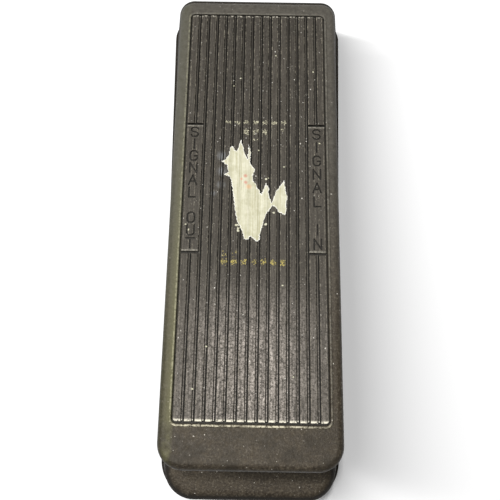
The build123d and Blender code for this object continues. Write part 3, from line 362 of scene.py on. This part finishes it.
def mat_rubber():
    """Dusty ribbed rubber: grooves painted black as shade, rib edges rubbed and painted with highlights, and
    the heel half paler with scuffs and painted sheen.
    """
    s = Shader("tread_rubber")
    here = s.place(tread=True)
    axes = s.axes(here)
    streaks = s.noise(s.scaled(here, (2.2, 0.06, 1.0)), 1.0, 4.0, 0.65)
    blotch = s.noise(here, 0.11, 4.0, 0.6)
    dirt = s.noise(here, 1.1, 6.0, 0.75)
    grain = s.noise(here, 1.35, 4.0, 0.85)
    from_rib = s.math("PINGPONG", axes[0], RIB_PITCH / 2)
    which_rib = s.math("ROUND", s.math("DIVIDE", axes[0], RIB_PITCH))
    tone = s.node("ShaderNodeTexWhiteNoise", {"noise_dimensions": "1D"}, W=which_rib).outputs["Value"]

    base = s.mix(s.remap(blotch, 0.35, 0.65), rgb(30, 27, 22), rgb(41, 37, 31))
    base = s.mix(s.remap(tone, 0.0, 1.0, 0.0, 0.35), base, rgb(74, 69, 61))
    base = s.mix(s.remap(dirt, 0.45, 0.72, 0.0, 0.55), base, rgb(84, 79, 71))
    base = s.mix(s.remap(streaks, 0.5, 0.7, 0.0, 0.55), base, rgb(104, 99, 90))
    base = s.mix(s.remap(grain, 0.46, 0.34, 0.0, 0.85), base, rgb(16, 15, 13))
    # painted sheen mixed with scuffing: the heel half is paler, palest along the middle, where the light's
    # highlight falls on the rubber
    heel = s.remap(axes[1], -22.0, -66.0, 0.0, 0.9, True)
    middle = s.remap(s.math("ABSOLUTE", s.math("ADD", axes[0], 0.5)), 31.0, 6.0, 0.3, 1.0, True)
    scuff_and_sheen = s.times(heel, middle)
    sheen_and_rub_streaks = s.noise(s.scaled(here, (1.3, 0.08, 1.0)), 1.1, 5.0, 0.8)
    scuff_and_sheen = s.times(scuff_and_sheen, s.remap(sheen_and_rub_streaks, 0.4, 0.6, 0.15, 1.0))
    scuff_and_sheen = s.times(scuff_and_sheen, s.remap(grain, 0.43, 0.58))
    base = s.mix(scuff_and_sheen, base, rgb(198, 188, 178))
    # rib edges paler and broken along their length: rubbed, with painted highlights where their rounding
    # catches the light
    edge = s.times(s.remap(from_rib, 1.0, 1.22), s.remap(from_rib, 1.42, 1.3))
    nicks_and_glints = s.remap(s.noise(s.scaled(here, (1.0, 0.4, 1.0)), 1.5, 5.0, 0.85), 0.5, 0.6)
    toward_toe = s.remap(axes[1], 20.0, 95.0, 0.65, 1.0)
    base = s.mix(s.times(edge, nicks_and_glints, toward_toe), base, rgb(160, 152, 134))
    # smears of old glue beside the paper
    for x, y, radius in ((-14.9, 26.0, 3.4), (-14.7, 18.5, 3.2), (-15.0, 12.0, 2.6), (-18.2, 7.8, 1.8)):
        smear = s.times(s.blob(here, x, y, radius), s.remap(streaks, 0.4, 0.6))
        base = s.mix(s.times(smear, 0.7), base, rgb(140, 143, 146))
    base = s.mix(s.flecks(here, 1.0, (0.15, 0.06), (0.46, 0.54)), base, rgb(168, 162, 148))
    base = s.mix(s.flecks(here, 0.42, (0.1, 0.05), (0.46, 0.52)), base, rgb(232, 228, 218))
    base = rubbed_and_glinting_ends(s, axes, dirt, base)
    # painted shade: the grooves below the rib tops are made almost black
    groove_shade = s.remap(axes[2], RIB_TOP - 0.6, RIB_TOP - 0.2, 0.0, 1.0, True)
    base = s.mix(groove_shade, rgb(5, 5, 4), base)
    s.set("Base Color", base)
    s.set("Roughness", s.remap(dirt, 0.3, 0.7, 0.42, 0.72))
    s.set("Specular IOR Level", 0.45)
    s.set("Specular Tint", (1.0, 0.94, 0.84))
    fine = s.math("ADD", s.times(grain, 1.2), s.times(streaks, 0.6))
    s.set("Normal", s.bump(fine, 0.5, 0.0003))
    return s.material


def plain_rubber():
    s = Shader("black_rubber")
    here = s.place()
    dust = s.noise(here, 0.9, 5.0, 0.65)
    s.set("Base Color", s.mix(s.remap(dust, 0.45, 0.75), rgb(26, 26, 27), rgb(66, 64, 60)))
    s.set("Roughness", s.remap(dust, 0.3, 0.7, 0.6, 0.9))
    s.set("Normal", s.bump(s.noise(here, 6.0, 3.0), 0.25, 0.00015))
    return s.material


def metal(name, dark, light, rough, grain=(0.4, 6.0, 6.0)):
    """Plated or turned steel and brass: fine tool lines, stains and slightly varied gloss."""
    s = Shader(name)
    here = s.place()
    stain = s.noise(here, 0.35, 5.0, 0.65)
    lines = s.noise(s.scaled(here, grain), 1.0, 3.0, 0.6)
    s.set("Base Color", s.mix(s.remap(stain, 0.35, 0.7), light, dark))
    s.set("Metallic", 1.0)
    low, high = rough
    s.set("Roughness", s.remap(s.math("ADD", stain, s.times(lines, 0.4)), 0.5, 0.95, low, high))
    s.set("Normal", s.bump(lines, 0.15, 0.00008))
    return s.material


def plastic(name, dark, light, rough, scatter=0.0, stretch=(1, 1, 1)):
    s = Shader(name)
    here = s.place(scale=stretch)
    cloud = s.noise(here, 0.8, 4.0, 0.6)
    s.set("Base Color", s.mix(s.remap(cloud, 0.35, 0.68), dark, light))
    low, high = rough
    s.set("Roughness", s.remap(cloud, 0.3, 0.7, low, high))
    s.set("Normal", s.bump(s.noise(here, 5.0, 3.0), 0.18, 0.00008))
    if scatter:
        s.set("Subsurface Weight", scatter)
        s.set("Subsurface Radius", (0.002, 0.0018, 0.0014))
    return s.material


def paper():
    """Cream torn paper, whiter at its torn edges, darker along the grooves it lies over."""
    s = Shader("torn_paper")
    here = s.place(tread=True)
    axes = s.axes(here)
    fibre = s.noise(s.scaled(here, (1.6, 0.35, 1.0)), 1.2, 6.0, 0.7)
    patch = s.noise(here, 0.35, 5.0, 0.65)
    colour = s.mix(s.remap(patch, 0.35, 0.65), rgb(182, 179, 152), rgb(204, 201, 178))
    phase = s.times(axes[0], 2 * math.pi / RIB_PITCH)
    rib = s.math("COSINE", phase)
    groove = s.remap(s.math("ADD", rib, s.times(fibre, 0.9)), 0.0, -0.45, 0.0, 0.35)
    colour = s.mix(groove, colour, rgb(160, 157, 128))
    lines = s.noise(s.scaled(here, (1.8, 0.04, 1.0)), 1.0, 4.0, 0.7)
    colour = s.mix(s.remap(lines, 0.52, 0.62, 0.0, 0.6), colour, rgb(158, 152, 114))
    colour = s.mix(s.remap(lines, 0.44, 0.34, 0.0, 0.5), colour, rgb(224, 220, 200))
    colour = s.mix(s.remap(fibre, 0.55, 0.75, 0.0, 0.5), colour, rgb(226, 223, 210))
    # the torn rim shows the paper's white core
    rim = s.node("ShaderNodeAttribute", {"attribute_name": "rim"}).outputs["Fac"]
    colour = s.mix(s.times(rim, 0.9), colour, rgb(246, 245, 240))
    for x, y, radius, stain in (
        (-4.2, 16.4, 1.3, (188, 70, 58)),
        (-4.1, 13.2, 1.2, (190, 64, 54)),
        (-6.0, 14.9, 0.9, (206, 120, 96)),
        (-2.7, 11.2, 1.8, (214, 156, 110)),
    ):
        spot = s.times(s.blob(here, x, y, radius), s.remap(fibre, 0.3, 0.6, 0.35, 1.0))
        colour = s.mix(s.times(spot, 0.75), colour, rgb(*stain))
    s.set("Base Color", colour)
    s.set("Roughness", s.remap(fibre, 0.3, 0.7, 0.75, 0.95))
    s.set("Normal", s.bump(fibre, 0.5, 0.0002))
    return s.material


def fleck_paint(name, dull, bright):
    """What is left of print on the rib tops."""
    s = Shader(name)
    here = s.place(tread=True)
    tone = s.noise(here, 0.7, 4.0, 0.7)
    colour = s.mix(s.remap(tone, 0.35, 0.62), dull, bright)
    s.set("Base Color", s.mix(s.remap(s.noise(here, 2.5, 3.0), 0.52, 0.7), colour, rgb(92, 88, 76)))
    s.set("Roughness", s.remap(tone, 0.3, 0.7, 0.45, 0.75))
    s.set("Normal", s.bump(s.noise(here, 4.0, 4.0), 0.3, 0.00015))
    return s.material


# ---------------------------------------------------------------- the torn paper and the flecks


def rib_height(x):
    """How high thin paper stuck over the mat lies at x, in the treadle's frame."""
    from_rib = abs((x / RIB_PITCH + 0.5) % 1.0 - 0.5) * RIB_PITCH
    into_groove = max(0.0, from_rib - RIB_WIDTH / 2 + 0.25)
    sag = min(1.0, into_groove / 0.6)
    return RIB_TOP - PAPER_SAG * sag * sag * (3 - 2 * sag)


def torn(outline, rng, step, rough):
    """The outline with more points on its sides, each moved a little, as a tear wanders."""
    wandering = []
    for (x0, y0), (x1, y1) in zip(outline, outline[1:] + outline[:1]):
        length = math.hypot(x1 - x0, y1 - y0)
        count = max(1, round(length / step))
        for i in range(count):
            t = i / count
            shake = rough if i else rough * 0.4
            x = x0 + (x1 - x0) * t + rng.uniform(-shake, shake)
            y = y0 + (y1 - y0) * t + rng.uniform(-shake, shake)
            wandering.append(Vector((x, y)))
    return wandering


def paper_on_mat(outline, rng):
    """A thin closed sheet over the ribs: its vertices, its faces, and 1 for every vertex on the rim."""
    xs = [p.x for p in outline]
    ys = [p.y for p in outline]
    points = list(outline)
    ring = [(i, (i + 1) % len(outline)) for i in range(len(outline))]
    jitter = 0.1 * PAPER_GRID
    x = min(xs)
    while x < max(xs):
        y = min(ys)
        while y < max(ys):
            points.append(Vector((x + rng.uniform(-jitter, jitter), y + rng.uniform(-jitter, jitter))))
            y += PAPER_GRID * 1.5
        x += PAPER_GRID
    flat, _, faces, *_ = delaunay_2d_cdt(points, ring, [], 1, 1e-4)
    # an edge that only one face runs along is on the rim
    edges = [edge for face in faces for edge in zip(face, face[1:] + face[:1])]
    known = set(edges)
    rim = [(a, b) for a, b in edges if (b, a) not in known]
    on_rim = {a for a, _ in rim}
    top = []
    for p in flat:
        curl = PAPER_LIFT * (0.5 + 0.5 * math.sin(p.x * 1.3 + p.y * 0.7))
        top.append(Vector((p.x, p.y, rib_height(p.x) + PAPER_THICKNESS + curl)))
    bottom = [Vector((p.x, p.y, p.z - PAPER_THICKNESS)) for p in top]
    count = len(top)
    all_faces = [tuple(f) for f in faces]
    all_faces += [tuple(i + count for i in reversed(f)) for f in faces]
    all_faces += [(b, a, a + count, b + count) for a, b in rim]
    return top + bottom, all_faces, [float(i % count in on_rim) for i in range(2 * count)]


def specks_on_mat(rng, spots):
    """Irregular flat flakes lying on the rib tops; each spot is x, y and a radius."""
    flakes = []
    for x, y, radius in spots:
        sides = rng.randint(6, 9)
        turn = rng.uniform(0, math.tau)
        stretch = rng.uniform(0.6, 1.0)
        ring = []
        for i in range(sides):
            angle = turn + math.tau * i / sides
            reach = radius * rng.uniform(0.55, 1.1)
            ring.append((x + reach * math.cos(angle), y + reach * math.sin(angle) * stretch))
        top = [Vector((px, py, rib_height(px) + FLAKE_TOP)) for px, py in ring]
        bottom = [Vector((px, py, rib_height(px) + FLAKE_BOTTOM)) for px, py in ring]
        faces = [tuple(range(sides)), tuple(reversed(range(sides, 2 * sides)))]
        faces += [((i + 1) % sides, i, i + sides, (i + 1) % sides + sides) for i in range(sides)]
        flakes.append((top + bottom, faces))
    return flakes


def printed_flakes(rng, rows):
    """What is left of rows of print that have mostly rubbed off, rib by rib."""
    spots = []
    for y, tall, density, shares in rows:
        for rib, share in shares.items():
            for _ in range(round(density * share)):
                x = rib * RIB_PITCH + rng.uniform(-1.15, 1.15)
                spots.append((x, y + rng.triangular(-tall, tall), rng.uniform(0.12, 0.36)))
    return specks_on_mat(rng, spots)


def tread_piece(name, patches, material):
    """One piece of those patches, given in the treadle's frame, that rides on the treadle."""
    vertices, faces, rims = [], [], []
    for points, sides, *rim in patches:
        base = len(vertices)
        rims += rim[0] if rim else [0.0] * len(points)
        vertices += [tuple(TREAD_TO_WORLD @ (p * MM)) for p in points]
        faces += [tuple(i + base for i in side) for side in sides]
    mesh = bpy.data.meshes.new(name)
    mesh.from_pydata(vertices, [], faces)
    mesh.attributes.new("rim", "FLOAT", "POINT").data.foreach_set("value", rims)
    mesh.materials.append(material)
    piece = bpy.data.objects.new(name, mesh)
    bpy.context.scene.collection.objects.link(piece)
    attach(piece, "treadle")


# the torn paper in the treadle's frame, to the nearest half millimetre, clockwise from its tallest spike
PAPER_OUTLINE = [
    (-6.5, 34.5), (-5, 28), (-3.5, 24.5), (-3, 32), (-2, 27.5), (-2.5, 23.5), (0, 19.5), (-1, 16.5),
    (-1, 14.5), (1, 11), (3, 7.5), (5, 13), (6.5, 10), (6, 8.5), (7.5, 3.5), (9.5, 9), (13, 14.5),
    (14, 8), (14.5, 7), (14.5, 5.5), (14, 4), (14, 0), (13.5, -2), (10.5, -0.5), (9.5, 1.5), (8, 2.5),
    (5, -2), (4, -5.5), (2.5, -11), (2.5, -13.5), (1, -14.5), (-1.5, -12), (-2.5, -13.5), (-4.5, -13.5),
    (-5, -10), (-7.5, -5.5), (-8.5, 0), (-10, 11), (-10.5, 14.5), (-11.5, 16), (-14, 17), (-12, 18),
    (-12.5, 21.5), (-15.5, 23.5), (-14, 24), (-12, 26), (-11.5, 30), (-10.5, 31), (-9.5, 29),
    (-8.5, 28.5), (-7.5, 30.5),
]

# x, y and radius of each scrap of paper beside it
SCRAPS = [
    (-7.5, -7, 1.0), (-7, -8.5, 0.7), (-7, -9.5, 0.9), (-6, -8, 0.5), (5, -6.5, 0.8), (8.5, -1, 0.6),
    (5, 15, 0.6), (13, 21, 0.5), (1.5, 29, 0.45), (29, 33, 0.5), (-27.5, 26.5, 0.6), (-30, -7, 0.5),
    (-28.5, -9.5, 0.6), (-4.5, 37.5, 0.5), (6, 15.5, 0.4), (12.5, -34, 0.5), (-19, -60.5, 0.55),
    (17, -72.5, 0.5), (-10.5, 62, 0.4), (9, 78.5, 0.4), (-7.5, 66, 0.45), (26.5, 70, 0.5), (-24, -78, 0.5),
]

# rows of print: y, half the height, flakes on a whole rib, and the share left on each rib
# by its number from the middle one
TOE_ROWS = [
    (43.0, 1.0, 26, {-3: 0.5, -2: 0.7, -1: 1, 0: 1, 1: 0.9, 2: 1.3, 3: 0.8}),
    (38.3, 1.7, 30, {-1: 1, 0: 0.9, 1: 0.7}),
    (40.2, 1.6, 14, {3: 0.5}),
    (34.4, 0.6, 12, {0: 0.6}),
]
HEEL_ROWS = [
    (-23.9, 1.7, 34, {-3: 1.2, -2: 1.2, -1: 0.8, 0: 0.6, 1: 0.8, 2: 1.2, 3: 1.1}),
    (-20.3, 2.0, 14, {-3: 0.8, -2: 0.6}),
]


# ---------------------------------------------------------------- the scene


def dress_castings_and_rubber():
    dress(casting_paint("painted_casting", False), "chassis_casting")
    dress(casting_paint("painted_casting_treadle", True), "treadle_casting")
    dress(mat_rubber(), "tread_mat")
    rubber = plain_rubber()
    dress(rubber, "toe_bumper", "heel_bumper")
    for corner in ("heel_left", "heel_right", "toe_left", "toe_right"):
        dress(rubber, f"rubber_foot_{corner}")


def dress_metal_parts():
    zinc = metal("zinc_plated_steel", rgb(120, 121, 120), rgb(176, 178, 178), (0.32, 0.55))
    dress(zinc, "bottom_plate", "foot_screws", "pot_bracket", "bracket_screws", "guide_screw", "pot_can")
    bright = metal("bright_steel", rgb(150, 150, 148), rgb(200, 200, 198), (0.18, 0.34), (6.0, 0.4, 6.0))
    dress(bright, "pivot_axle", "rack_pin", "pinion_set_screw")
    spring = metal("spring_steel", rgb(48, 48, 50), rgb(84, 84, 86), (0.35, 0.5))
    dress(spring, "axle_clips", "rack_pin_clips")
    nickel = metal("nickel_plate", rgb(150, 142, 126), rgb(206, 200, 186), (0.16, 0.34), (6.0, 6.0, 0.4))
    dress(nickel, "input_jack_frame", "output_jack_frame", "jack_nuts", "jack_washers")
    dress(nickel, "pot_nut", "pot_washer", "pot_front_and_bushing")
    tinned = metal("tinned_brass", rgb(142, 134, 108), rgb(196, 188, 160), (0.25, 0.45))
    dress(tinned, "pot_terminals", "pot_wiper", "input_jack_tip_spring", "output_jack_tip_spring")
    dress(metal("shaft_brass", rgb(150, 116, 62), rgb(204, 168, 104), (0.2, 0.38)), "pot_shaft")


def dress_plastic_parts():
    nylon = plastic("nylon", rgb(206, 198, 176), rgb(226, 220, 202), (0.35, 0.5), 0.15)
    dress(nylon, "rack_gear", "pinion_gear", "rack_guide", "friction_washers")
    dress(nylon, "axle_bushing_left", "axle_bushing_right")
    phenolic = plastic("phenolic", rgb(84, 50, 26), rgb(122, 78, 42), (0.35, 0.5), 0.0, (1, 1, 5))
    dress(phenolic, "pot_resistive_track", "pot_rotor", "input_jack_insulator", "output_jack_insulator")
    dress(plastic("lead_yellow", rgb(176, 140, 40), rgb(206, 170, 60), (0.3, 0.45)), "input_lead")
    dress(plastic("lead_red", rgb(130, 28, 22), rgb(164, 40, 32), (0.3, 0.45)), "output_lead")
    black = plastic("lead_black", rgb(22, 22, 22), rgb(44, 43, 42), (0.3, 0.5))
    dress(black, "ground_lead", "jack_link_lead")


def lay_paper_and_print(rng):
    """The torn paper, its scraps, and the flakes left of two blocks of print."""
    white = paper()
    outline = torn(PAPER_OUTLINE, rng, TEAR_STEP, TEAR_ROUGHNESS)
    tread_piece("torn_paper", [paper_on_mat(outline, rng)], white)
    tread_piece("paper_bits", specks_on_mat(rng, SCRAPS), white)
    pale = fleck_paint("printed_flecks_pale", rgb(132, 127, 104), rgb(214, 209, 178))
    tread_piece("printed_flecks_toe", printed_flakes(rng, TOE_ROWS), pale)
    yellow = fleck_paint("printed_flecks_yellow", rgb(116, 104, 50), rgb(196, 178, 92))
    tread_piece("printed_flecks_heel", printed_flakes(rng, HEEL_ROWS), yellow)


def light_the_studio():
    area_light("key", KEY_PLACE, KEY_SIZE, KEY_POWER)
    area_light("side", SIDE_PLACE, SIDE_SIZE, SIDE_POWER)
    world = bpy.data.worlds.new("studio")
    world.use_nodes = True
    background = world.node_tree.nodes["Background"]
    background.inputs["Color"].default_value = (1, 1, 1, 1)
    background.inputs["Strength"].default_value = WORLD_STRENGTH
    bpy.context.scene.world = world
    bpy.context.scene.view_settings.view_transform = "Standard"


def lay_floor():
    mesh = bpy.data.meshes.new("floor")
    corners = [(x * FLOOR_HALF, y * FLOOR_HALF, 0) for x, y in ((-1, -1), (1, -1), (1, 1), (-1, 1))]
    mesh.from_pydata(corners, [], [(0, 1, 2, 3)])
    floor = bpy.data.objects.new("floor", mesh)
    bpy.context.scene.collection.objects.link(floor)
    ground = Shader("studio_floor")
    cloud = ground.noise(ground.place(), 0.01, 2.0)
    ground.set("Base Color", ground.mix(cloud, (0.86, 0.86, 0.86), (0.88, 0.88, 0.88)))
    ground.set("Roughness", 0.7)
    mesh.materials.append(ground.material)


place_camera()
dress_castings_and_rubber()
dress_metal_parts()
dress_plastic_parts()
lay_paper_and_print(random.Random(7))
light_the_studio()
lay_floor()
